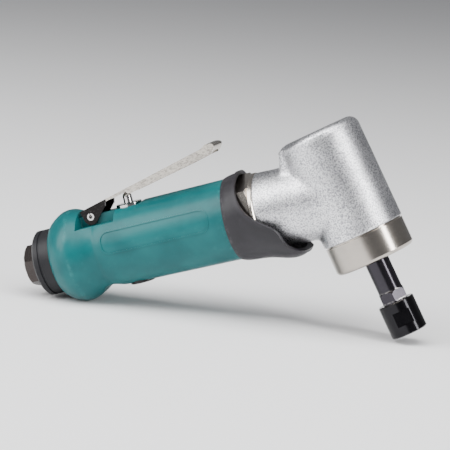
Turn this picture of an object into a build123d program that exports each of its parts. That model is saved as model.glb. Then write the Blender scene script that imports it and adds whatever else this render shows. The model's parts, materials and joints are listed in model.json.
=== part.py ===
from build123d import *
import os
from math import atan2, cos, degrees, pi, radians, sin, tan

# Angle-head air die grinder, in millimetres.
# It is drawn about the point where the handle's axis meets the spindle's axis: +X runs along the
# handle towards the head, +Z to the lever's side and +Y across. At the end the whole tool is turned
# and set down so that it stands on its collet nut and on the flare at the back of the handle.

# ---------------------------------------------------------------- driving dimensions
lean = 11.0                 # the spindle leans this many degrees back from square to the handle
running = 0.03              # radial clearance of a shaft in its bearing

# handle, by stations along X
inlet_end = -166.5
inlet_flats = 19.0          # wrench size of the inlet bushing
inlet_bore = 5.7            # radius of the female 1/4 in pipe thread
inlet_depth = 14.0
cover_end = -159.6
cover_radius = 16.4
groove = -155.6             # groove round the exhaust cover
mouth = -149.8              # back edge of the housing
mouth_floor = -145.4
flare_station = -138.3
flare_radius = 23.2
grip_radius = 19.5
front_radius = 20.1
housing_front = -56.7
jam_face = -52.2            # where the lock nut bears on the housing
chamber_radius = 6.0        # air chamber around the tip valve
motor_radius = 16.0
motor_back = -99.0
motor_front = -57.6
nut_shoulder = -43.5         # front of the lock nut's hexagon, behind its thin flange
neck_end = -41.2
lock_nut_flats = 35.4

# throttle lever and valve
pivot_x = -126.5
pivot_z = 17.7
pin_radius = 1.8
lug_half = 6.0
lever_slope = 13.2          # the released lever rises this many degrees from the handle
lever_half = 7.5
lever_wall = 1.2
lever_top = 4.53            # top of the lever above its pivot, square to the lever
lever_reach = 73.3
valve_x = -108.0
valve_flat = 18.3           # the flat on the housing that the valve bushing is screwed down to
stem_radius = 2.3
stem_crown = 22.99          # centre of the ball end that the lever presses
regulator_x = -111.0
seat_x = -123.0             # face of the valve seat that the tip valve closes
heel_z = 3.9                # the tip valve tilts on a rounded heel at the top of its disc
heel_radius = 0.5

# head, by distances down the spindle's axis
head_radius = 20.3
cap_radius = 20.0
head_top = -33.0
cap_top = 20.5
cap_bottom = 35.0
cavity_radius = 16.0
spindle_radius = 6.0
gear_seat_radius = 5.0
hex_top = 51.5              # hexagon on the spindle for a spanner
hex_flats = 12.4
hex_bottom = 57.0
nut_top = 57.3
nut_bottom = 73.8
nut_radius = 9.0
nut_flats = 15.9
collet_bore = 3.175         # radius, for a 1/4 in shank

# bevel gears, with straight teeth that run to the crossing point of the two axes
pinion_teeth = 14
gear_teeth = 18
cone_distance = 15.5
tooth_face = 5.0
shaft_angle = 90 + lean

# ---------------------------------------------------------------- axes, planes and helpers
tilt = radians(lean)
forward = Vector(cos(tilt), 0, sin(tilt))
down = Vector(sin(tilt), 0, -cos(tilt))
spindle_axis = Axis((0, 0, 0), down)
head_side = Plane(origin=(0, 0, 0), x_dir=forward, z_dir=(0, -1, 0))
head_down = Plane(origin=(0, 0, 0), x_dir=forward, z_dir=down)
slope = radians(lever_slope)
lever_side = Plane(origin=(pivot_x, 0, pivot_z), x_dir=(cos(slope), 0, sin(slope)), z_dir=(0, -1, 0))


def across(x):
    """The plane square to the handle at a station, with Y and Z as its own axes."""
    return Plane(origin=(x, 0, 0), x_dir=(0, 1, 0), z_dir=(1, 0, 0))


def handle_outline(*stations):
    """Half section of a piece turned about the handle's axis, from (station, radius) points."""
    with BuildSketch(Plane.XZ) as section:
        with BuildLine():
            Polyline(*stations, close=True)
        make_face()
    return section.sketch


def head_outline(*stations):
    """Half section of a piece turned about the spindle, from (distance down, radius) points."""
    with BuildSketch(head_side) as section:
        with BuildLine():
            Polyline(*[(radius, -distance) for distance, radius in stations], close=True)
        make_face()
    return section.sketch


def hexagon(plane, flats, turned=0.0):
    """A hexagon of a given wrench size on a plane, turned by some degrees."""
    with BuildSketch(plane) as section:
        RegularPolygon(flats / 2, 6, major_radius=False, rotation=turned)
    return section.sketch


def disc(plane, radius, hole=0.0):
    """A circle, or a washer, on a plane."""
    with BuildSketch(plane) as section:
        Circle(radius)
        if hole:
            Circle(hole, mode=Mode.SUBTRACT)
    return section.sketch


def ball_bearing(seat, bore, outside, width, balls):
    """Deep-groove bearing standing on a plane: two grooved races and a ring of balls."""
    gap = (outside - bore) / 2
    race = gap * 0.36
    ball = gap * 0.27
    middle = (outside + bore) / 2
    with BuildPart(seat) as bearing:
        extrude(disc(seat, outside, outside - race), amount=width)
        extrude(disc(seat, bore + race, bore), amount=width)
        with Locations((0, 0, width / 2)):
            Torus(middle, ball + 0.05, mode=Mode.SUBTRACT)
        with Locations((0, 0, width / 2)):
            with PolarLocations(middle, balls):
                Sphere(ball)
    return bearing


# ---------------------------------------------------------------- air inlet and exhaust
with BuildPart() as inlet_bushing:
    extrude(hexagon(across(inlet_end), inlet_flats, -18), amount=cover_end - inlet_end)
    chamfered = inlet_flats / 2 / cos(pi / 6)
    revolve(
        handle_outline((inlet_end, 0), (inlet_end, chamfered - 1.3), (inlet_end + 1.0, chamfered),
                       (cover_end, chamfered), (cover_end, 0)),
        axis=Axis.X, mode=Mode.INTERSECT)
    revolve(
        handle_outline((cover_end, 0), (cover_end, 9.0), (-141.2, 9.0), (-141.2, 7.35),
                       (-139.2, 7.35), (-139.2, 9.0), (-136.2, 9.0), (-136.2, 0)),
        axis=Axis.X)
    inlet_floor = inlet_end + inlet_depth
    revolve(
        handle_outline((inlet_end, 0), (inlet_end, inlet_bore + 0.8), (inlet_end + 0.8, inlet_bore),
                       (inlet_floor, inlet_bore), (inlet_floor, 4.2), (-136.2, 4.2), (-136.2, 0)),
        axis=Axis.X, mode=Mode.SUBTRACT)

with BuildPart() as inlet_screen:
    extrude(disc(across(inlet_floor), 4.15), amount=0.6)
    with BuildSketch(across(inlet_floor)):
        with GridLocations(1.3, 1.3, 5, 5):
            Circle(0.45)
    extrude(amount=0.6, mode=Mode.SUBTRACT)

with BuildPart(across(-140.2)) as inlet_o_ring:
    Torus(8.2, 0.8)

with BuildPart() as exhaust_cover:
    revolve(
        handle_outline((cover_end, 9.3), (cover_end, 15.2), (cover_end + 1.1, cover_radius),
                       (groove - 0.7, cover_radius), (groove - 0.4, 15.9), (groove + 0.4, 15.9),
                       (groove + 0.7, cover_radius), (mouth_floor, cover_radius), (mouth_floor, 15.0),
                       (cover_end + 2.2, 15.0), (cover_end + 2.2, 10.4), (mouth_floor, 10.4),
                       (mouth_floor, 9.3)),
        axis=Axis.X)
    with BuildSketch(across(cover_end)):
        with PolarLocations(12.7, 12):
            Circle(1.3)
    extrude(amount=3.0, mode=Mode.SUBTRACT)

with BuildPart() as exhaust_silencer:
    extrude(disc(across(cover_end + 2.3), 14.8, 10.6), amount=11.6)

# ---------------------------------------------------------------- housing
# a plain raised border on each flank of the grip
with BuildPart() as border:
    with BuildSketch(Plane.XZ):
        with Locations((-92.8, 4.1)):
            RectangleRounded(57.0, 11.6, 4.5)
            RectangleRounded(55.6, 10.2, 3.8, mode=Mode.SUBTRACT)
    extrude(amount=24, both=True)
    revolve(
        handle_outline((-123, 17.5), (-123, grip_radius + 0.3), (-62, front_radius + 0.2), (-62, 17.5)),
        axis=Axis.X, mode=Mode.INTERSECT)

with BuildPart() as housing:
    with BuildSketch(Plane.XZ):
        with BuildLine():
            flare = Spline(
                (-149.4, 18.2), (-147.2, 20.3), (-143.8, 22.3), (flare_station, flare_radius),
                (-134.6, 22.0), (-130.1, 19.9), (-126.0, 18.9), (-118.0, grip_radius),
                tangents=((0.5, 0.86), (1, 0.01)))
            Polyline(
                flare @ 1, (housing_front, front_radius), (housing_front, 18.4), (jam_face, 18.4),
                (jam_face, 16.85), (motor_front, 16.85), (motor_front, motor_radius + 0.05),
                (motor_back, motor_radius + 0.05), (motor_back, 0), (mouth_floor, 0),
                (mouth_floor, cover_radius + 0.3), (mouth, cover_radius + 0.3), (mouth, 17.6),
                flare @ 0)
        make_face()
    revolve(axis=Axis.X)
    # flat for the valve bushing, ramped up to the grip in front of it
    with BuildSketch(Plane.XZ):
        with BuildLine():
            Polyline((-133.2, valve_flat), (-101.3, valve_flat), (-98.4, 20.1), (-98.4, 24), (-133.2, 24),
                     close=True)
        make_face()
    extrude(amount=20, both=True, mode=Mode.SUBTRACT)
    # a pocket each side for the lever's ears, which leaves the lug that holds the lever's pin
    for side in (-1, 1):
        with BuildSketch(Plane.XY.offset(13.3)):
            with Locations((-123.3, side * (lug_half + 7))):
                RectangleRounded(19.8, 14, 1.2)
        extrude(amount=12, mode=Mode.SUBTRACT)
    with BuildSketch(Plane.XZ):
        with Locations((pivot_x, pivot_z)):
            Circle(2.95)
        with Locations((pivot_x, pivot_z - 2)):
            Rectangle(5.9, 4)
    extrude(amount=lug_half, both=True)
    with BuildSketch(Plane.XZ):
        with Locations((pivot_x, pivot_z)):
            Circle(pin_radius)
    extrude(amount=lug_half, both=True, mode=Mode.SUBTRACT)
    # scooped finger rest underneath
    with BuildSketch(Plane.XZ):
        with Locations((-124.5, -26.2)):
            Circle(9.0)
    extrude(amount=22, both=True, mode=Mode.SUBTRACT)
    # inlet bore, air chamber, stem bore and regulator bore
    extrude(disc(across(mouth_floor), 9.05), amount=-136.0 - mouth_floor, mode=Mode.SUBTRACT)
    extrude(disc(across(-136.2), chamber_radius), amount=34.2, mode=Mode.SUBTRACT)
    stem_line = Plane.XY.move(Location((valve_x, 0, 0)))
    extrude(disc(stem_line, stem_radius + 0.4), amount=valve_flat, mode=Mode.SUBTRACT)
    extrude(disc(stem_line.offset(9.3), 4.5), amount=12, mode=Mode.SUBTRACT)
    regulator_line = Plane.XY.move(Location((regulator_x, 0, 0)))
    extrude(disc(regulator_line.offset(-22), 6.4), amount=5.6, mode=Mode.SUBTRACT)
    extrude(disc(regulator_line.offset(-22), 5.6), amount=13.7, mode=Mode.SUBTRACT)
    extrude(disc(regulator_line.offset(-9), 2.5), amount=6, mode=Mode.SUBTRACT)
    # the feed to the motor, and four exhaust galleries back to the mouth
    with BuildSketch(across(motor_back)):
        with Locations((0, -10.5)):
            Circle(2.0)
    extrude(amount=-10, mode=Mode.SUBTRACT)
    with BuildSketch(across(motor_back)):
        with Locations((12.2, 3.2), (12.2, -3.2), (-12.2, 3.2), (-12.2, -3.2)):
            Circle(1.9)
    extrude(amount=mouth_floor - motor_back, mode=Mode.SUBTRACT)
    add(border.part)

# ---------------------------------------------------------------- throttle valve
with BuildPart() as valve_bushing:
    extrude(disc(stem_line.offset(valve_flat), 6.5, stem_radius + 0.05), amount=1.7)
    chamfer(valve_bushing.edges().group_by(Axis.Z)[-1].sort_by(SortBy.RADIUS)[-1], 0.5)
    extrude(disc(stem_line.offset(11.3), 4.5, stem_radius + 0.05), amount=valve_flat - 11.3)

with BuildPart(stem_line.offset(10.3)) as valve_o_ring:
    Torus(3.38, 0.95)

with BuildPart() as valve_stem:
    extrude(disc(stem_line.offset(9.0), stem_radius), amount=stem_crown - 9.0)
    with Locations((valve_x, 0, stem_crown)):
        Sphere(stem_radius)
    extrude(disc(stem_line.offset(1.2), 1.0), amount=7.8)

with BuildPart() as valve_seat:
    extrude(disc(across(seat_x), chamber_radius, 2.9), amount=2.5)

with BuildPart() as tip_valve:
    extrude(disc(across(seat_x), 4.2), amount=-2.5)
    with BuildSketch(Plane.XZ):
        with Locations((seat_x - 1.25, heel_z + 0.5)):
            Rectangle(2.5, 1.0)
    extrude(amount=4, both=True, mode=Mode.SUBTRACT)
    with BuildSketch(Plane.XZ):
        with Locations((seat_x - heel_radius, heel_z)):
            Circle(heel_radius)
    extrude(amount=1.5, both=True)
    extrude(disc(across(seat_x), 1.0), amount=16.7)

with BuildPart() as valve_spring:
    with BuildLine():
        coil = Helix(
            pitch=2.0, height=8.2, radius=4.8, cone_angle=-19, center=(-135.7, 0, 0),
            direction=(1, 0, 0))
    with BuildSketch(Plane(origin=coil @ 0, z_dir=coil % 0)):
        Circle(0.35)
    sweep(path=coil)

with BuildPart() as regulator:
    extrude(disc(regulator_line.offset(-20.1), 6.3), amount=3.7)
    chamfer(regulator.edges().group_by(Axis.Z)[0], 0.4)
    extrude(disc(regulator_line.offset(-16.4), 5.5), amount=8.0)
    extrude(disc(regulator_line.offset(-14.6), 5.5, 4.0), amount=1.7, mode=Mode.SUBTRACT)
    with BuildSketch(regulator_line.offset(-20.1)):
        Rectangle(10.5, 1.5)
    extrude(amount=1.7, mode=Mode.SUBTRACT)
    with BuildSketch(regulator_line.offset(-12.0)):
        with Locations((4.6, 0)):
            Rectangle(7.0, 12.0)
    extrude(amount=4.0, mode=Mode.SUBTRACT)

with BuildPart(regulator_line.offset(-13.75)) as regulator_o_ring:
    Torus(4.78, 0.76)

# ---------------------------------------------------------------- throttle lever
with BuildPart() as throttle_lever:
    web_under = lever_top - lever_wall
    with BuildSketch(lever_side):
        with BuildLine():
            tip = Spline((65.8, lever_top), (69.5, 5.5), (lever_reach, 3.4), (70.5, 0.5), (65.3, 0.35),
                         tangents=((1, 0), (-1, 0)))
            Polyline(tip @ 1, (56.0, 0.35), (24.0, 1.3), (22.5, 2.2), (22.5, web_under), (10.2, web_under), (9.2, 1.4),
                     (2.8, -2.75), (-3.9, -0.3), (-4.0, lever_top), tip @ 0)
        make_face()
        Circle(3.9)
    extrude(amount=lever_half, both=True)
    with BuildSketch(lever_side):
        with BuildLine():
            Polyline((-6, web_under), (69.7, web_under), (71.5, 2.6), (70.3, -6), (-6, -6), close=True)
        make_face()
    extrude(amount=lever_half - lever_wall, both=True, mode=Mode.SUBTRACT)
    with BuildSketch(lever_side):
        Circle(pin_radius + 0.06)
    extrude(amount=lever_half, both=True, mode=Mode.SUBTRACT)
    fillet(throttle_lever.edges().filter_by(GeomType.LINE).group_by(Axis.X)[-1], 3.0)

with BuildPart() as lever_pin:
    with BuildSketch(Plane.XZ):
        with Locations((pivot_x, pivot_z)):
            Circle(pin_radius)
            Circle(1.0, mode=Mode.SUBTRACT)
        with Locations((pivot_x, pivot_z + 1.4)):
            Rectangle(0.5, 1.4, mode=Mode.SUBTRACT)
    extrude(amount=lever_half + 0.2, both=True)

# ---------------------------------------------------------------- collar
# a raised lip along the rim, cut out of a thin skin over the skirt
with BuildPart() as lip:
    with BuildSketch(Plane.XZ):
        with BuildLine():
            inner = Spline((-54.5, 21.0), (-49.4, 21.6), (-41.1, 22.6), (-29.5, 24.8), (-25.8, 23.8),
                           (-23.2, 20.8))
            outer = Spline((-54.5, 21.9), (-49.4, 22.4), (-41.1, 23.4), (-29.5, 25.6), (-25.2, 24.5),
                           (-22.2, 20.8))
            Line(inner @ 0, outer @ 0)
            Line(inner @ 1, outer @ 1)
        make_face()
    revolve(axis=Axis.X)
    with BuildSketch(Plane.XZ):
        with BuildLine():
            edge = Spline((-48.9, 26.2), (-50.3, 12.4), (-46.5, 2.2), (-38.7, -5.2), (-33.2, -10.0),
                          (-31.7, -16.3), (-27.5, -22.1), (-20.2, -23.4))
            Polyline(edge @ 1, (-18, -23.4), (-18, 26.2), edge @ 0)
        make_face()
    extrude(amount=30, both=True, mode=Mode.INTERSECT)

with BuildPart() as collar:
    with BuildSketch(Plane.XZ):
        with BuildLine():
            skirt = Spline((housing_front, 20.5), (-54.5, 21.2), (-49.4, 21.8), (-41.1, 22.8), (-29.5, 25.0),
                           (-25.6, 24.0), (-22.8, 20.8))
            Polyline(skirt @ 1, (-24.6, 20.4), (-27.0, 22.2), (-30.0, 22.7), (-40.0, 20.75),
                     (jam_face, 20.6), (jam_face, 18.45), (housing_front, 18.45), skirt @ 0)
        make_face()
    revolve(axis=Axis.X)
    add(lip.part)
    # the rim falls away on both flanks and leaves a scooped chin under the neck
    with BuildSketch(Plane.XZ):
        with BuildLine():
            rim = Spline((-47.0, 26.0), (-48.4, 12.5), (-44.9, 3.3), (-37.4, -3.8), (-31.6, -9.0),
                         (-30.0, -15.5), (-26.5, -20.5), (-20.0, -21.5))
            Polyline(rim @ 1, (-18, 26), rim @ 0)
        make_face()
    extrude(amount=30, both=True, mode=Mode.SUBTRACT)

# ---------------------------------------------------------------- air motor
with BuildPart() as rear_end_plate:
    revolve(
        handle_outline((motor_back, 8.0), (motor_back, motor_radius), (-92.0, motor_radius),
                       (-92.0, 4.3), (-93.8, 4.3), (-93.8, 8.0)),
        axis=Axis.X)
    with BuildSketch(across(motor_back)):
        with Locations((0, -10.5)):
            Circle(2.0)
        with Locations((12.2, 3.2), (12.2, -3.2), (-12.2, 3.2), (-12.2, -3.2)):
            Circle(1.9)
    extrude(amount=7.0, mode=Mode.SUBTRACT)

with BuildPart() as motor_cylinder:
    extrude(disc(across(-92.0), motor_radius), amount=28.0)
    with BuildSketch(across(-92.0)):
        with Locations((0, -1.5)):
            Circle(12.6)
    extrude(amount=28.0, mode=Mode.SUBTRACT)
    with BuildSketch(Plane.XZ):
        with Locations(*[(x, 4.0) for x in (-86, -80, -74, -68)]):
            Circle(1.3)
    extrude(amount=20, both=True, mode=Mode.SUBTRACT)

with BuildPart() as front_end_plate:
    revolve(
        handle_outline((-64.0, 4.3), (-64.0, motor_radius), (motor_front, motor_radius),
                       (motor_front, 8.0), (-62.8, 8.0), (-62.8, 4.3)),
        axis=Axis.X)

rear_bearing = ball_bearing(across(-98.8), 4.0, 8.0, 5.0, 10)
front_bearing = ball_bearing(across(-62.7), 4.0, 8.0, 5.0, 10)

with BuildPart() as rotor:
    extrude(disc(across(-91.8), 10.8), amount=27.6)
    extrude(disc(across(-98.4), 4.0 - running), amount=45.4)
    extrude(hexagon(across(-53.0), 4.4), amount=7.0)
    with BuildSketch(across(-91.8)):
        with PolarLocations(8.6, 4, start_angle=45):
            Rectangle(6.0, 2.0)
    extrude(amount=27.6, mode=Mode.SUBTRACT)

with BuildPart() as vanes:
    with BuildSketch(across(-91.7)):
        with PolarLocations(8.35, 4, start_angle=45):
            Rectangle(5.2, 1.9)
    extrude(amount=27.4)

# ---------------------------------------------------------------- angle head
with BuildPart() as lock_nut:
    nut_corner = lock_nut_flats / 2 / cos(pi / 6)
    extrude(hexagon(across(jam_face), lock_nut_flats, 20), amount=nut_shoulder - jam_face)
    revolve(
        handle_outline((jam_face, 0), (jam_face, 19.4), (jam_face + 1.0, nut_corner),
                       (nut_shoulder - 1.2, nut_corner), (nut_shoulder, 18.7), (nut_shoulder, 0)),
        axis=Axis.X, mode=Mode.INTERSECT)
    revolve(
        handle_outline((nut_shoulder, 16.9), (nut_shoulder, 19.1), (nut_shoulder + 0.4, 19.6),
                       (neck_end - 0.4, 19.6), (neck_end, 19.2), (neck_end, 16.9)),
        axis=Axis.X)
    extrude(disc(across(jam_face), 16.85), amount=12, mode=Mode.SUBTRACT)

# raised pad between the back of the head and the top of the neck
with BuildPart() as pad:
    with BuildSketch(Plane.XZ):
        with BuildLine():
            Polyline((-27.0, 10.0), (-26.7, 19.6), (-25.5, 26.0), (-22.4, 28.8), (-12.0, 31.0),
                     (-6.0, 10.0), close=True)
        make_face()
    extrude(amount=10.5, both=True)
    fillet(pad.edges().filter_by(Axis.Y), 1.2)
    fillet(pad.faces().sort_by(Axis.Y)[0].edges(), 2.4)
    fillet(pad.faces().sort_by(Axis.Y)[-1].edges(), 2.4)

with BuildPart() as head_casting:
    extrude(disc(head_down.offset(head_top), head_radius), amount=cap_top - 0.1 - head_top)
    fillet(head_casting.edges().group_by(Axis.Z)[-1], 5.0)
    revolve(
        handle_outline((neck_end, 0), (neck_end, 18.9), (neck_end + 0.4, 19.3), (0, 19.0), (0, 0)),
        axis=Axis.X)
    add(pad.part)
    extrude(disc(across(motor_front), 16.8), amount=neck_end - motor_front)
    revolve(
        head_outline((-28.2, 0), (-28.2, 8.0), (-23.0, 8.0), (-23.0, 9.5), (-18.5, cavity_radius),
                     (12.2, cavity_radius), (12.2, 17.05), (cap_top, 17.05), (cap_top, 0)),
        axis=spindle_axis, mode=Mode.SUBTRACT)
    extrude(disc(across(-36.0), 9.5), amount=25, mode=Mode.SUBTRACT)
    extrude(disc(across(motor_front), 6.5), amount=24, mode=Mode.SUBTRACT)
    extrude(disc(across(motor_front), 13.5), amount=12, mode=Mode.SUBTRACT)

pinion_rear_bearing = ball_bearing(across(-36.0), 4.0, 9.5, 6.0, 10)
pinion_front_bearing = ball_bearing(across(-22.0), 4.0, 9.5, 6.0, 10)

with BuildPart() as pinion_spacer:
    extrude(disc(across(-30.0), 5.4, 4.05), amount=8.0)

# pitch cones of the two bevel gears
crossing = radians(shaft_angle)
pinion_cone = atan2(sin(crossing), gear_teeth / pinion_teeth + cos(crossing))
gear_cone = crossing - pinion_cone
module = 2 * cone_distance * sin(pinion_cone) / pinion_teeth
addendum = 0.74 * module
dedendum = 0.98 * module
tooth_half = 0.20 * pi * module
flank = tan(radians(22))
inner_scale = (cone_distance - tooth_face) / cone_distance


def root_point(cone, scale=1.0):
    """Radius and height of a bevel gear's root cone, at its large end or scaled in towards the apex."""
    radius = cone_distance * sin(cone) - dedendum * cos(cone)
    height = cone_distance * cos(cone) + dedendum * sin(cone)
    return radius * scale, height * scale


def bevel_tooth(cone):
    """One straight tooth, lofted between two sections that shrink towards the apex at the origin."""
    with BuildPart() as tooth:
        for scale in (1.0, inner_scale):
            reach = cone_distance * scale
            section = Plane(
                origin=(reach * sin(cone), 0, reach * cos(cone)), x_dir=(0, -1, 0),
                z_dir=(sin(cone), 0, cos(cone)))
            foot = dedendum + 0.25
            with BuildSketch(section):
                with BuildLine():
                    Polyline(
                        ((tooth_half + foot * flank) * scale, -foot * scale),
                        ((tooth_half - addendum * flank) * scale, addendum * scale),
                        (-(tooth_half - addendum * flank) * scale, addendum * scale),
                        (-(tooth_half + foot * flank) * scale, -foot * scale), close=True)
                make_face()
        loft()
    return tooth.part


def bevel_wheel(apex, cone, teeth, blank, first):
    """A bevel gear on a plane at the apex, from its blank's half section and its number of teeth."""
    with BuildPart(apex) as wheel:
        with BuildSketch(Plane(origin=apex.origin, x_dir=apex.x_dir, z_dir=apex.y_dir * -1)):
            with BuildLine():
                Polyline(*blank, close=True)
            make_face()
        revolve(axis=Axis(apex.origin, apex.z_dir))
        with PolarLocations(0, teeth, start_angle=first):
            add(bevel_tooth(cone))
    return wheel.part


pinion_apex = Plane(origin=(0, 0, 0), x_dir=(0, 0, -1), z_dir=(-1, 0, 0))
pinion_blank = [
    (0, 8.0), (root_point(pinion_cone, inner_scale)[0] - 0.3, 8.0), root_point(pinion_cone, inner_scale),
    root_point(pinion_cone), (8.6, 14.6), (5.6, 14.6), (5.6, 16.0), (4.0 - running, 16.0),
    (4.0 - running, 52.8), (0, 52.8)]
with BuildPart() as pinion:
    add(bevel_wheel(pinion_apex, pinion_cone, pinion_teeth, pinion_blank, 0))
    extrude(hexagon(across(-53.0), 4.5), amount=7.4, mode=Mode.SUBTRACT)

gear_apex = Plane(origin=(0, 0, 0), x_dir=forward * -1, z_dir=down)
gear_blank = [
    (gear_seat_radius, 5.5), (root_point(gear_cone, inner_scale)[0] - 0.5, 5.5),
    root_point(gear_cone, inner_scale), root_point(gear_cone), (12.2, 12.0), (7.5, 12.0),
    (7.5, 13.0), (gear_seat_radius, 13.0)]
with BuildPart() as bevel_gear:
    add(bevel_wheel(gear_apex, gear_cone, gear_teeth, gear_blank, 180 / gear_teeth))
    with BuildSketch(head_down):
        with Locations((5.0, 0)):
            Rectangle(2.2, 2.0)
    extrude(amount=14, mode=Mode.SUBTRACT)

with BuildPart(head_down) as gear_key:
    with Locations((5.0, 0, 9.5)):
        Box(2.0, 2.0, 6.0)

with BuildPart() as gear_clip:
    with BuildSketch(head_down.offset(4.4)):
        Circle(6.4)
        Circle(4.6, mode=Mode.SUBTRACT)
        with Locations((6.0, 0)):
            Rectangle(4.0, 2.4, mode=Mode.SUBTRACT)
    extrude(amount=1.0)

with BuildPart() as spindle_spacer:
    extrude(disc(head_down.offset(13.0), 6.6, gear_seat_radius), amount=11.0)

upper_bearing = ball_bearing(head_down.offset(-28.0), 4.0, 8.0, 5.0, 10)
lower_bearing = ball_bearing(head_down.offset(24.0), gear_seat_radius, 11.0, 6.0, 10)

# the hexagon on the spindle that a spanner holds
with BuildPart() as spanner_hex:
    extrude(hexagon(head_down.offset(hex_top), hex_flats, 15), amount=hex_bottom - hex_top)
    revolve(
        head_outline((hex_top, 0), (hex_top, 6.2), (hex_top + 1.6, 7.3), (hex_bottom - 0.5, 7.3),
                     (hex_bottom, 6.7), (hex_bottom, 0)),
        axis=spindle_axis, mode=Mode.INTERSECT)

with BuildPart() as spindle:
    seat = gear_seat_radius
    revolve(
        head_outline((-28.0, 0), (-28.0, 4.0 - running), (-22.8, 4.0 - running), (-22.8, seat - 0.2),
                     (4.35, seat - 0.2), (4.35, 4.55), (5.45, 4.55), (5.45, seat), (23.9, seat),
                     (23.9, seat - running), (30.1, seat - running), (30.1, spindle_radius),
                     (hex_bottom, spindle_radius), (hex_bottom, 5.9), (66.5, 5.9), (66.5, 0)),
        axis=spindle_axis)
    add(spanner_hex.part)
    revolve(
        head_outline((57.4, 0), (57.4, 4.5), (63.0, 4.5), (66.5, 5.2), (66.5, 0)),
        axis=spindle_axis, mode=Mode.SUBTRACT)
    with Locations(head_down.location):
        with Locations((5.0, 0, 9.5)):
            Box(2.0, 2.0, 6.0, mode=Mode.SUBTRACT)

with BuildPart() as bearing_cap:
    revolve(
        head_outline((12.6, 14.6), (12.6, 16.95), (cap_top, 16.95), (cap_top, 19.2), (cap_top + 0.6, 19.2),
                     (cap_top + 0.8, cap_radius), (33.4, cap_radius), (34.5, cap_radius - 0.6),
                     (cap_bottom, 18.6), (cap_bottom, 7.4), (34.0, 7.4), (34.0, 9.5),
                     (30.0, 9.5), (30.0, 11.0), (24.0, 11.0), (24.0, 14.6)),
        axis=spindle_axis)
    with BuildSketch(head_down.offset(cap_bottom)):
        with PolarLocations(14.0, 2, start_angle=90):
            Circle(1.6)
    extrude(amount=-2.6, mode=Mode.SUBTRACT)

with BuildPart() as bearing_retainer:
    extrude(disc(head_down.offset(21.4), 14.55, 8.4), amount=2.6)
    with BuildSketch(head_down.offset(21.4)):
        with PolarLocations(11.6, 4):
            Circle(1.2)
    extrude(amount=2.6, mode=Mode.SUBTRACT)

with BuildPart() as spindle_seal:
    extrude(disc(head_down.offset(30.2), 9.5, spindle_radius + 0.06), amount=3.6)

# ---------------------------------------------------------------- collet
with BuildPart() as collet:
    revolve(
        head_outline((57.8, collet_bore), (57.8, 4.4), (63.0, 4.4), (66.8, 5.12), (67.3, 5.85), (68.6, 5.85),
                     (72.6, 4.6), (72.6, collet_bore)),
        axis=spindle_axis)
    with BuildSketch(head_down.offset(59.5)):
        with Locations((0, 0, 0)):
            Rectangle(13, 0.6)
            Rectangle(0.6, 13)
    extrude(amount=14, mode=Mode.SUBTRACT)

with BuildPart() as collet_nut:
    revolve(
        head_outline((nut_top, 5.97), (nut_top, nut_radius - 0.4), (nut_top + 0.4, nut_radius),
                     (nut_bottom - 0.5, nut_radius), (nut_bottom, nut_radius - 0.5), (nut_bottom, 4.9),
                     (72.9, 4.65), (68.75, 5.97)),
        axis=spindle_axis)
    with BuildSketch(head_down.offset(62.0)):
        with PolarLocations(nut_flats / 2 + 2, 2, start_angle=75):
            Rectangle(4, 12)
    extrude(amount=7.0, mode=Mode.SUBTRACT)

# ---------------------------------------------------------------- setting down and writing out
pieces = {
    "inlet_bushing": inlet_bushing, "inlet_screen": inlet_screen, "inlet_o_ring": inlet_o_ring,
    "exhaust_cover": exhaust_cover, "exhaust_silencer": exhaust_silencer, "housing": housing,
    "valve_bushing": valve_bushing, "valve_o_ring": valve_o_ring, "valve_stem": valve_stem,
    "valve_seat": valve_seat, "tip_valve": tip_valve, "valve_spring": valve_spring,
    "regulator": regulator, "regulator_o_ring": regulator_o_ring, "throttle_lever": throttle_lever,
    "lever_pin": lever_pin, "collar": collar, "rear_end_plate": rear_end_plate,
    "motor_cylinder": motor_cylinder, "front_end_plate": front_end_plate,
    "rear_bearing": rear_bearing, "front_bearing": front_bearing, "rotor": rotor, "vanes": vanes,
    "lock_nut": lock_nut, "head_casting": head_casting, "pinion_rear_bearing": pinion_rear_bearing,
    "pinion_front_bearing": pinion_front_bearing, "pinion_spacer": pinion_spacer, "pinion": pinion,
    "bevel_gear": bevel_gear, "gear_key": gear_key, "gear_clip": gear_clip,
    "spindle_spacer": spindle_spacer, "upper_bearing": upper_bearing, "lower_bearing": lower_bearing,
    "spindle": spindle, "bearing_cap": bearing_cap, "bearing_retainer": bearing_retainer,
    "spindle_seal": spindle_seal, "collet": collet, "collet_nut": collet_nut}


# Stood on two edges: the nut's lower corner and the flare's widest ring. Turning the tool until a line
# under both is level makes the bench the plane Z = 0, under the middle of the whole tool.
nut_corner_x = nut_bottom * down.X - (nut_radius - 0.5) * forward.X
nut_corner_z = nut_bottom * down.Z - (nut_radius - 0.5) * forward.Z
bench_slope = degrees(atan2(-flare_radius - nut_corner_z, nut_corner_x - flare_station))
turned = [Rotation(0, -bench_slope, 0) * piece.part for piece in pieces.values()]
bounds = [shape.bounding_box() for shape in turned]
near = [min(getattr(box.min, axis) for box in bounds) for axis in ("X", "Y", "Z")]
far = [max(getattr(box.max, axis) for box in bounds) for axis in ("X", "Y", "Z")]
stand = Pos(-(near[0] + far[0]) / 2, -(near[1] + far[1]) / 2, -near[2]) * Rotation(0, -bench_slope, 0)

if __name__ == "__main__":
    os.makedirs("parts", exist_ok=True)
    for name, piece in pieces.items():
        standing = stand * piece.part
        standing.label = name
        export_step(standing, "parts/" + name + ".step")
    print("overall size", [round(b - a, 2) for a, b in zip(near, far)], "slope", round(bench_slope, 3))
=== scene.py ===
import json
from math import cos, radians, sin

import bmesh
import bpy
from mathutils import Matrix, Vector


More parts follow.
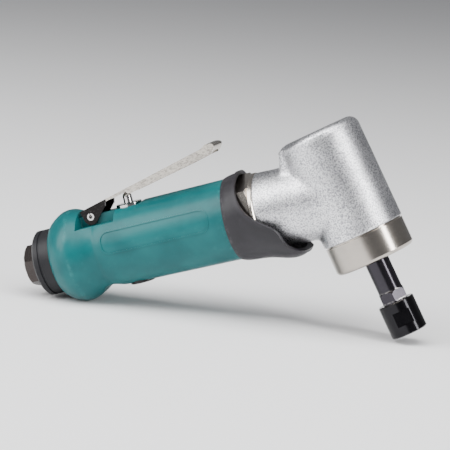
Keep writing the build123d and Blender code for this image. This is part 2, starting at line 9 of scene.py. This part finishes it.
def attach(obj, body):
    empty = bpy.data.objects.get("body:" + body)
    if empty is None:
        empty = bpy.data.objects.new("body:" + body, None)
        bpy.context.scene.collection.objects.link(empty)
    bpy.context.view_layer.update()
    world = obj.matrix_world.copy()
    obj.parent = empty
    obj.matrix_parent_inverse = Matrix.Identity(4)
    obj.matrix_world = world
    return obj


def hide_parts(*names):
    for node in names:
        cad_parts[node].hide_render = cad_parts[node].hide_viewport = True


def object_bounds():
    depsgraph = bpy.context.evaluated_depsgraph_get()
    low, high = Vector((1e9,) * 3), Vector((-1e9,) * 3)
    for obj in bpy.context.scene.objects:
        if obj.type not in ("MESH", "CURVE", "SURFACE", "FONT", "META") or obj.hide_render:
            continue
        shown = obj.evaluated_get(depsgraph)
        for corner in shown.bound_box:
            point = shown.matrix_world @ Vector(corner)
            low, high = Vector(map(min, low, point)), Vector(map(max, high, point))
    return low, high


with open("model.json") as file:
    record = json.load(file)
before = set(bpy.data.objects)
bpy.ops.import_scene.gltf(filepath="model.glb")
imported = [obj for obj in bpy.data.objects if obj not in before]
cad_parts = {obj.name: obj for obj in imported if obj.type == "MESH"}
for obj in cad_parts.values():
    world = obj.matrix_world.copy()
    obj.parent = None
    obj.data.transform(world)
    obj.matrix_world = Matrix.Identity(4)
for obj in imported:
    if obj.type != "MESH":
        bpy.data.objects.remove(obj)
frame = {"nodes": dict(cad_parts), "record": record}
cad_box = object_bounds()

# ---------------------------------------------------------------- the tool's own axes
joints = {joint["name"]: joint for joint in frame["record"]["behaviour"]["joints"]}
# where the handle's axis meets the spindle's
crossing = Vector(joints["motor_spin"]["pos_m"])
along = Vector(joints["motor_spin"]["axis"]).normalized()
down = Vector(joints["spindle_spin"]["axis"]).normalized()
side = Vector((0, 1, 0))
rise = along.cross(side).normalized()
forward = side.cross(-down).normalized()


def axes_at(origin, x_axis, y_axis, z_axis):
    """The matrix that carries millimetres on three axes of the tool into the frame's metres."""
    turn = Matrix((x_axis, y_axis, z_axis)).transposed().to_4x4()
    return Matrix.Translation(origin) @ turn @ Matrix.Scale(0.001, 4)


handle_axes = axes_at(crossing, along, side, rise)
head_axes = axes_at(crossing, forward, -side, down)


def span(name, direction):
    """Nearest and farthest reach of a node along a direction from the crossing, in metres."""
    vertices = frame["nodes"][name].data.vertices
    reaches = [(vertex.co - crossing).dot(direction) for vertex in vertices]
    return min(reaches), max(reaches)


def mapped(axes):
    """Location and rotation for a Mapping node that turns frame coordinates into a piece's own axes."""
    back = axes.to_quaternion().inverted()
    return -(back @ axes.translation), back.to_euler()


# ---------------------------------------------------------------- materials
class Wire:
    """A node's output. Python's operators on it add Math nodes."""

    def __init__(self, finish, socket):
        self.finish = finish
        self.socket = socket

    def math(self, operation, first, second=0.0):
        return self.finish.node("Math", {"operation": operation}, {0: first, 1: second})

    def __add__(self, other):
        return self.math("ADD", self, other)

    def __sub__(self, other):
        return self.math("SUBTRACT", self, other)

    def __rsub__(self, other):
        return self.math("SUBTRACT", other, self)

    def __mul__(self, other):
        return self.math("MULTIPLY", self, other)

    def __truediv__(self, other):
        return self.math("DIVIDE", self, other)

    def __pow__(self, other):
        return self.math("POWER", self, other)

    __radd__ = __add__
    __rmul__ = __mul__

    def within(self, low, high, new_low=0.0, new_high=1.0):
        """The value carried from one range to another, and held at its ends."""
        inputs = {"Value": self, "From Min": low, "From Max": high, "To Min": new_low, "To Max": new_high}
        return self.finish.node("MapRange", {"interpolation_type": "SMOOTHSTEP"}, inputs)


class Finish:
    """One material on a Principled shader, with its node maths written as Python."""

    def __init__(self, name, axes=handle_axes, **constants):
        self.material = bpy.data.materials.new(name)
        self.material.use_nodes = True
        self.tree = self.material.node_tree
        self.shader = self.tree.nodes["Principled BSDF"]
        for socket, value in constants.items():
            self.shader.inputs[socket.replace("_", " ")].default_value = value
        location, rotation = mapped(axes)
        own = self.node("TexCoord", {}, {}, "Object")
        turned = {"Vector": own, "Location": location, "Rotation": rotation}
        self.place = self.node("Mapping", {}, turned)

    def node(self, kind, settings, inputs, output=0):
        """A node of a kind, with its settings made first and then its inputs; returns one output."""
        made = self.tree.nodes.new("ShaderNode" + kind)
        for setting, value in settings.items():
            if setting == "stops":
                self.set_stops(made.color_ramp, value)
            else:
                setattr(made, setting, value)
        for name, value in inputs.items():
            if isinstance(value, Wire):
                self.tree.links.new(value.socket, made.inputs[name])
            else:
                made.inputs[name].default_value = value
        return Wire(self, made.outputs[output])

    def set_stops(self, ramp, stops):
        """Lays a colour ramp out from (position, colour) stops."""
        while len(ramp.elements) < len(stops):
            ramp.elements.new(0.5)
        for element, (position, colour) in zip(ramp.elements, stops):
            element.position = position
            element.color = (*colour, 1)

    def feed(self, **sockets):
        """Links what varies over the surface to the shader."""
        for name, wire in sockets.items():
            self.tree.links.new(wire.socket, self.shader.inputs[name.replace("_", " ")])
        return self

    def noise(self, size, detail=2.0, roughness=0.5, vector=None):
        """Noise from 0 to 1 whose features are about a size in metres."""
        inputs = {"Vector": vector or self.place, "Scale": 1 / size,
                  "Detail": detail, "Roughness": roughness}
        return self.node("TexNoise", {}, inputs)

    def stretched(self, x, y, z):
        """Coordinates divided by a stretch along each of the piece's axes."""
        inputs = {0: self.place, 1: (1 / x, 1 / y, 1 / z)}
        return self.node("VectorMath", {"operation": "MULTIPLY"}, inputs)

    def reach(self, axis):
        """The coordinate on one of the piece's own axes, in metres."""
        return self.node("SeparateXYZ", {}, {"Vector": self.place}, axis)

    def near(self, axis, levels, width):
        """1 where an axis crosses one of some levels, fading to 0 a width away."""
        mask = 0.0
        for level in levels:
            gap = self.node("Math", {"operation": "ABSOLUTE"}, {0: self.reach(axis) - level})
            mask = mask + gap.within(0, width, 1, 0)
        return mask

    def mixed(self, factor, first, second):
        """A colour between two, by a factor."""
        inputs = {0: factor, 6: first, 7: second}
        return self.node("Mix", {"data_type": "RGBA"}, inputs, 2)

    def bump(self, height, depth, strength=1.0):
        """A bumped normal from a height of 0 to 1 that stands for a depth in metres."""
        return self.node("Bump", {}, {"Height": height, "Distance": depth, "Strength": strength})


def rgb(colour):
    """A colour with full alpha, as the sockets take it."""
    return (*colour, 1)


def scaled(colour, factor):
    """A colour made lighter or darker, held at white."""
    return rgb([min(1, channel * factor) for channel in colour])


def moulded(name, colour, dark, light, grain=0.00035, depth=0.00006, gloss=0.42, rubs=()):
    """Moulded plastic: fine spark-eroded grain, cloudy tone, hand-worn gloss and rubbed ridges."""
    skin = Finish(name, handle_axes, IOR=1.45, Specular_IOR_Level=0.32)
    cells = skin.noise(grain, 3.0, 0.6)
    cloud = skin.noise(0.021, 3.0, 0.55)
    wear = skin.noise(0.0045, 4.0, 0.6)
    tone = skin.mixed(cloud.within(0.35, 0.68), rgb(dark), rgb(colour))
    tone = skin.mixed(wear.within(0.56, 0.74) * 0.1, tone, rgb(light))
    tone = skin.mixed(cells.within(0.60, 0.78) * 0.22, tone, rgb(light))
    roughness = gloss + (wear - 0.5) * 0.16 + (cells - 0.5) * 0.12
    if rubs:
        scuff = skin.near(0, rubs, 0.0014) * skin.noise(0.0024, 4.0, 0.7).within(0.46, 0.66)
        tone = skin.mixed(scuff * 0.45, tone, rgb(light))
        roughness = roughness - scuff * 0.1
    relief = skin.bump(cells, depth, 0.55)
    return skin.feed(Base_Color=tone, Roughness=roughness, Normal=relief).material


def blasted(name, axes):
    """Cast aluminium, bead blasted: dimples over half a millimetre across and a dusty sheen."""
    metal = Finish(name, axes, Metallic=1.0)
    dimples = metal.noise(0.00062, 2.0, 0.5)
    fine = metal.noise(0.00038, 2.0, 0.5)
    cloud = metal.noise(0.014, 3.0, 0.6)
    pit, dull, clean, glint = (0.30, 0.30, 0.33), (0.72, 0.72, 0.74), (0.90, 0.90, 0.92), (0.97, 0.97, 0.97)
    tone = metal.mixed(cloud.within(0.3, 0.7), rgb(dull), rgb(clean))
    tone = metal.mixed(dimples.within(0.38, 0.56), rgb(pit), tone)
    tone = metal.mixed(fine.within(0.58, 0.72) * 0.4, tone, rgb(glint))
    roughness = 0.34 + (cloud - 0.5) * 0.14 + (fine - 0.5) * 0.2
    relief = metal.bump(dimples * 0.8 + fine * 0.25, 0.00018, 1.0)
    return metal.feed(Base_Color=tone, Roughness=roughness, Normal=relief).material


def turned_metal(name, colour, axes, roughness, marks=0.00022, edges=()):
    """Metal turned in a lathe: fine rings along its third axis, handling stain and bright worn edges."""
    metal = Finish(name, axes, Metallic=1.0)
    rings = metal.noise(marks, 3.0, 0.65, metal.stretched(40, 40, 1))
    broad = metal.noise(0.0021, 2.0, 0.5, metal.stretched(30, 30, 1))
    cloud = metal.noise(0.009, 4.0, 0.6)
    stain = 0.12
    tone = metal.mixed(cloud.within(0.35, 0.75) * stain * 3, rgb(colour), scaled(colour, 0.62))
    tone = metal.mixed(rings.within(0.45, 0.75) * 0.25, tone, scaled(colour, 1.25))
    rough = roughness + (rings - 0.5) * 0.14 + (cloud - 0.5) * stain + (broad - 0.5) * 0.06
    if edges:
        worn = metal.near(2, edges, 0.0006) * cloud.within(0.4, 0.6)
        tone = metal.mixed(worn * 0.5, tone, scaled(colour, 1.5))
    relief = metal.bump(rings, 0.000012, 0.5)
    return metal.feed(Base_Color=tone, Roughness=rough, Normal=relief).material


def plated(name, colour, roughness, stain):
    """Bright plating over turned steel: almost a mirror, with faint waves and haze."""
    metal = Finish(name, handle_axes, Metallic=1.0)
    haze = metal.noise(0.006, 4.0, 0.62)
    waves = metal.noise(0.0035, 1.0, 0.5)
    scratches = metal.noise(0.00035, 3.0, 0.7, metal.stretched(18, 1.5, 3))
    tone = metal.mixed(haze.within(0.45, 0.8) * 0.5, rgb(colour), scaled(colour, 0.7))
    rough = roughness + (haze - 0.5) * stain + scratches.within(0.6, 0.75) * 0.08
    relief = metal.bump(waves * 0.7 + scratches * 0.05, 0.00004, 0.5)
    return metal.feed(Base_Color=tone, Roughness=rough, Normal=relief).material


def lever_plate(name):
    """The lever's nickel: rolled grain on its strip, and the pivot's ears glossy and painted near black, a
    painted dark reflection flecked with lighter pits.
    """
    metal = Finish(name, handle_axes, Metallic=1.0)
    grain = metal.noise(0.0007, 4.0, 0.65, metal.stretched(2.2, 1, 1))
    haze = metal.noise(0.007, 4.0, 0.6)
    pits = metal.noise(0.0009, 2.0, 0.5)
    satin, hazed, groove = (0.60, 0.56, 0.50), (0.44, 0.41, 0.37), (0.24, 0.225, 0.205)
    strip = metal.mixed(haze.within(0.4, 0.75) * 0.5, rgb(satin), rgb(hazed))
    strip = metal.mixed(grain.within(0.47, 0.62) * 0.7, strip, rgb(groove))
    # the ears' nickel painted near black: a painted dark reflection, flecked with lighter pits
    painted_dark_reflection, pitted_dark_reflection = (0.016, 0.015, 0.015), (0.12, 0.115, 0.11)
    ears = metal.mixed(pits.within(0.55, 0.7) * 0.15, rgb(painted_dark_reflection), rgb(pitted_dark_reflection))
    pivot = (Vector(joints["lever_pivot"]["pos_m"]) - crossing).dot(along)
    ears_front, blend = pivot + 0.0098, 0.0002
    # 0 on the ears, where the painted dark reflection goes, 1 on the strip in front of them
    changed = metal.reach(0).within(ears_front - blend, ears_front + blend)
    tone = metal.mixed(changed, ears, strip)
    rough = changed * 0.16 + 0.1 + (haze - 0.5) * 0.1 + (grain - 0.5) * 0.1 * changed
    relief = metal.bump(grain * changed * 0.8 + pits * 0.2, 0.00005, 0.6)
    return metal.feed(Base_Color=tone, Roughness=rough, Normal=relief).material


def black_oxide(name, colour, roughness, edges):
    """Oiled black oxide on turned steel: fine rings, with the oxide thinner in patches."""
    metal = Finish(name, head_axes, Metallic=0.85, Coat_Roughness=0.12, Coat_Weight=0.2)
    rings = metal.noise(0.00025, 3.0, 0.6, metal.stretched(40, 40, 1))
    patches = metal.noise(0.005, 5.0, 0.65)
    rubbed = patches.within(0.56, 0.8) * 0.5
    tone = metal.mixed(rubbed, rgb(colour), scaled(colour, 2.6))
    rough = roughness + (rings - 0.5) * 0.12 + (patches - 0.5) * 0.16
    worn = metal.near(2, edges, 0.0005) * metal.noise(0.0011, 4.0, 0.7).within(0.44, 0.6)
    tone = metal.mixed(worn * 0.7, tone, rgb((0.34, 0.33, 0.32)))
    relief = metal.bump(rings, 0.00001, 0.4)
    return metal.feed(Base_Color=tone, Roughness=rough, Normal=relief).material


def ground_steel(name, colour=(0.5, 0.5, 0.51)):
    """Hardened and ground steel for the works inside."""
    return turned_metal(name, colour, handle_axes, roughness=0.28, marks=0.0004)


def rubber(name):
    """Nitrile rubber with a faint bloom."""
    skin = Finish(name, handle_axes, IOR=1.5)
    bloom = skin.noise(0.0015, 4.0, 0.6)
    tone = skin.mixed(bloom.within(0.4, 0.75), rgb((0.012, 0.012, 0.013)), rgb((0.04, 0.04, 0.042)))
    relief = skin.bump(bloom, 0.00005, 0.4)
    return skin.feed(Base_Color=tone, Roughness=0.5 + bloom * 0.25, Normal=relief).material


def felt(name, colour):
    """Pressed felt: short tangled fibres."""
    wool = Finish(name, handle_axes, Sheen_Weight=0.4)
    fibres = wool.noise(0.0004, 5.0, 0.75, wool.stretched(1, 3, 1))
    tone = wool.mixed(fibres.within(0.35, 0.7), scaled(colour, 0.55), rgb(colour))
    relief = wool.bump(fibres, 0.0002, 0.8)
    return wool.feed(Base_Color=tone, Roughness=0.85 + fibres * 0.1, Normal=relief).material


def phenolic(name):
    """Cloth-filled phenolic for the motor's vanes: brown, with a faint weave."""
    board = Finish(name, handle_axes)
    threads = board.noise(0.0003, 3.0, 0.6, board.stretched(6, 1, 1))
    tone = board.mixed(threads.within(0.35, 0.7), rgb((0.12, 0.055, 0.022)), rgb((0.24, 0.12, 0.05)))
    relief = board.bump(threads, 0.00004)
    return board.feed(Base_Color=tone, Roughness=0.5 + threads * 0.2, Normal=relief).material


cover_ends = span("exhaust_cover", along)
collar_ends = span("collar", along)
cap_ends = span("bearing_cap", down)
nut_ends = span("collet_nut", down)
flare_crest = cover_ends[1] + 0.0071
rim = 0.0008                            # how far a rubbed ridge lies from its piece's end
cap_rims = (cap_ends[1] - 0.0006, cap_ends[1] - 0.0138)
spanner_rims = (nut_ends[0] - 0.0058, nut_ends[0] - 0.0006)
across_handle = axes_at(crossing, side, rise, along)

teal = moulded("teal_nylon", (0.003, 0.105, 0.110), (0.0005, 0.074, 0.080), (0.04, 0.21, 0.21),
               gloss=0.33, rubs=(flare_crest, collar_ends[0] - rim))
charcoal = moulded("charcoal_nylon", (0.024, 0.022, 0.026), (0.016, 0.015, 0.018), (0.075, 0.07, 0.078),
                   grain=0.0004, depth=0.00009, rubs=(collar_ends[0] + rim,))
exhaust_grey = moulded("exhaust_nylon", (0.013, 0.013, 0.015), (0.008, 0.008, 0.010),
                       (0.05, 0.05, 0.052), grain=0.0005, gloss=0.46, rubs=(cover_ends[0] + rim,))
gloss_black = moulded("regulator_nylon", (0.012, 0.012, 0.013), (0.008, 0.008, 0.009),
                      (0.05, 0.05, 0.052), grain=0.0006, depth=0.00003, gloss=0.24)
lever_nickel = lever_plate("lever_nickel")
cast = blasted("blasted_aluminium", head_axes)
cap_nickel = turned_metal("turned_nickel", (0.46, 0.42, 0.375), head_axes, roughness=0.19, edges=cap_rims)
nut_nickel = turned_metal("lock_nut_nickel", (0.64, 0.59, 0.53), across_handle, roughness=0.2,
                          edges=span("lock_nut", along))
chrome = plated("valve_chrome", (0.60, 0.59, 0.58), roughness=0.07, stain=0.05)
inlet_steel = turned_metal("inlet_steel", (0.06, 0.052, 0.05), across_handle, roughness=0.28,
                           edges=(span("inlet_bushing", along)[0],))
oxide = black_oxide("spindle_oxide", (0.03, 0.027, 0.034), roughness=0.18, edges=spanner_rims)
nut_oxide = black_oxide("nut_oxide", (0.008, 0.0075, 0.0095), roughness=0.17, edges=nut_ends)
collet_steel = turned_metal("collet_steel", (0.3, 0.3, 0.31), head_axes, roughness=0.26)
steel = ground_steel("ground_steel")
iron = ground_steel("bored_iron", (0.33, 0.33, 0.34))
seal_rubber = rubber("nitrile_rubber")

finishes = {
    "housing": teal, "collar": charcoal, "exhaust_cover": exhaust_grey, "regulator": gloss_black,
    "head_casting": cast, "bearing_cap": cap_nickel, "lock_nut": nut_nickel,
    "throttle_lever": lever_nickel, "lever_pin": chrome, "valve_bushing": chrome, "valve_stem": chrome,
    "inlet_bushing": inlet_steel, "spindle": oxide, "collet_nut": nut_oxide, "collet": collet_steel,
    "inlet_o_ring": seal_rubber, "valve_o_ring": seal_rubber, "regulator_o_ring": seal_rubber,
    "valve_seat": seal_rubber, "rear_end_plate": iron, "front_end_plate": iron, "motor_cylinder": iron,
    "exhaust_silencer": felt("grey_felt", (0.42, 0.40, 0.36)),
    "spindle_seal": felt("brown_felt", (0.22, 0.19, 0.15)), "vanes": phenolic("vane_phenolic")}
for name, node in frame["nodes"].items():
    node.data.materials.clear()
    node.data.materials.append(finishes.get(name, steel))


# ---------------------------------------------------------------- the head, cast in one with its neck
def new_piece(name, mesh, material, node, body):
    """An object for a mesh that takes the place of a CAD node and moves with its body."""
    piece = bpy.data.objects.new(name, mesh)
    bpy.context.scene.collection.objects.link(piece)
    mesh.materials.clear()
    mesh.materials.append(material)
    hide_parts(node)
    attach(piece, body)
    return piece


def merged_copy(node):
    """A copy of a node's mesh, merged into one closed skin."""
    skin = bmesh.new()
    skin.from_mesh(frame["nodes"][node].data)
    bmesh.ops.remove_doubles(skin, verts=skin.verts, dist=1e-6)
    return skin


def gridded(skin, cell):
    """A skin rebuilt from even cells, so that its inner corners can be smoothed."""
    mesh = bpy.data.meshes.new("grid")
    skin.to_mesh(mesh)
    skin.free()
    holder = bpy.data.objects.new("grid", mesh)
    bpy.context.scene.collection.objects.link(holder)
    grid = holder.modifiers.new("grid", "REMESH")
    grid.mode = "VOXEL"
    grid.voxel_size = cell
    even = bmesh.new()
    even.from_object(holder, bpy.context.evaluated_depsgraph_get())
    bpy.data.objects.remove(holder)
    bpy.data.meshes.remove(mesh)
    return even


def in_junction(vertex):
    """Whether a point of the casting's outside lies where the neck, the pad and the head meet.

    The limits are millimetres on the handle's axes and the head's.
    """
    on_handle = handle_axes.inverted() @ vertex.co
    on_head = head_axes.inverted() @ vertex.co
    along_neck = -36 < on_handle.x < 4
    along_head = -30.5 < on_head.z < 18.4
    outside_neck = on_handle.yz.length > 15 or on_handle.x > -18
    outside_head = on_head.xy.length > 18.6
    return along_neck and along_head and outside_neck and outside_head


cast_cell = 0.00056             # metres; finer cells take the casting past its share of triangles
cast_softening = 56             # smoothing passes over the junction


def cast_head():
    """The head casting, with the neck and pad run softly into the head."""
    skin = gridded(merged_copy("head_casting"), cast_cell)
    corners = [vertex for vertex in skin.verts if in_junction(vertex)]
    every_axis = {"use_axis_x": True, "use_axis_y": True, "use_axis_z": True}
    for _ in range(cast_softening):
        bmesh.ops.smooth_vert(skin, verts=corners, factor=0.5, **every_axis)
    for face in skin.faces:
        face.smooth = True
    mesh = bpy.data.meshes.new("cast_head")
    skin.to_mesh(mesh)
    skin.free()
    mesh.set_sharp_from_angle(angle=radians(38))
    new_piece("cast_head", mesh, cast, "head_casting", "tool_body")


cast_head()

# ---------------------------------------------------------------- floor, light and camera
low, high = (Vector(corner) for corner in cad_box)
middle = (low + high) / 2


def laid_floor():
    """A plain pale bench top."""
    made = bmesh.new()
    bmesh.ops.create_grid(made, x_segments=1, y_segments=1, size=6.0)
    mesh = bpy.data.meshes.new("floor")
    made.to_mesh(mesh)
    floor = bpy.data.objects.new("floor", mesh)
    bpy.context.scene.collection.objects.link(floor)
    paint = Finish("floor_paint", handle_axes, Base_Color=(0.90, 0.90, 0.905, 1), Roughness=0.8)
    mesh.materials.append(paint.material)


def soft_box(name, azimuth, elevation, distance, width, height, power, colour=(1, 1, 1)):
    """A rectangular studio light that faces the tool."""
    lamp = bpy.data.lights.new(name, "AREA")
    lamp.shape = "RECTANGLE"
    lamp.size = width
    lamp.size_y = height
    lamp.energy = power
    lamp.color = colour
    box = bpy.data.objects.new(name, lamp)
    turn, lift = radians(azimuth), radians(elevation)
    away = Vector((sin(turn) * cos(lift), -cos(turn) * cos(lift), sin(lift)))
    box.location = middle + away * distance
    box.rotation_euler = away.to_track_quat("Z", "Y").to_euler()
    bpy.context.scene.collection.objects.link(box)


def studio_world(colour, strength):
    world = bpy.data.worlds.new("studio")
    world.use_nodes = True
    backdrop = world.node_tree.nodes["Background"]
    backdrop.inputs["Color"].default_value = rgb(colour)
    backdrop.inputs["Strength"].default_value = strength
    bpy.context.scene.world = world


def stand_camera(place, right, up, back, view_angle):
    """A camera on a stand, placed and turned on the handle's own axes, in millimetres."""
    camera = bpy.data.cameras.new("camera")
    camera.angle = radians(view_angle)
    camera.clip_end = 50
    stand = bpy.data.objects.new("camera", camera)
    turn = Matrix((right, up, back)).transposed().to_4x4()
    stand.location = handle_axes @ Vector(place)
    stand.rotation_euler = (handle_axes.to_quaternion().to_matrix().to_4x4() @ turn).to_euler()
    bpy.context.scene.collection.objects.link(stand)
    bpy.context.scene.camera = stand


laid_floor()
studio_world((0.95, 0.96, 1.0), 0.22)
soft_box("left_window", -52, 30, 1.25, 0.9, 1.1, 20)
soft_box("right_strip", 70, 16, 1.1, 0.2, 1.1, 13)
soft_box("ceiling", 10, 72, 1.3, 1.5, 1.2, 30)
stand_camera((250.6, -995.5, 80.0), (0.92931, 0.27183, -0.25), (0.21647, 0.14751, 0.96508),
             (0.29921, -0.95097, 0.07824), 12.0)
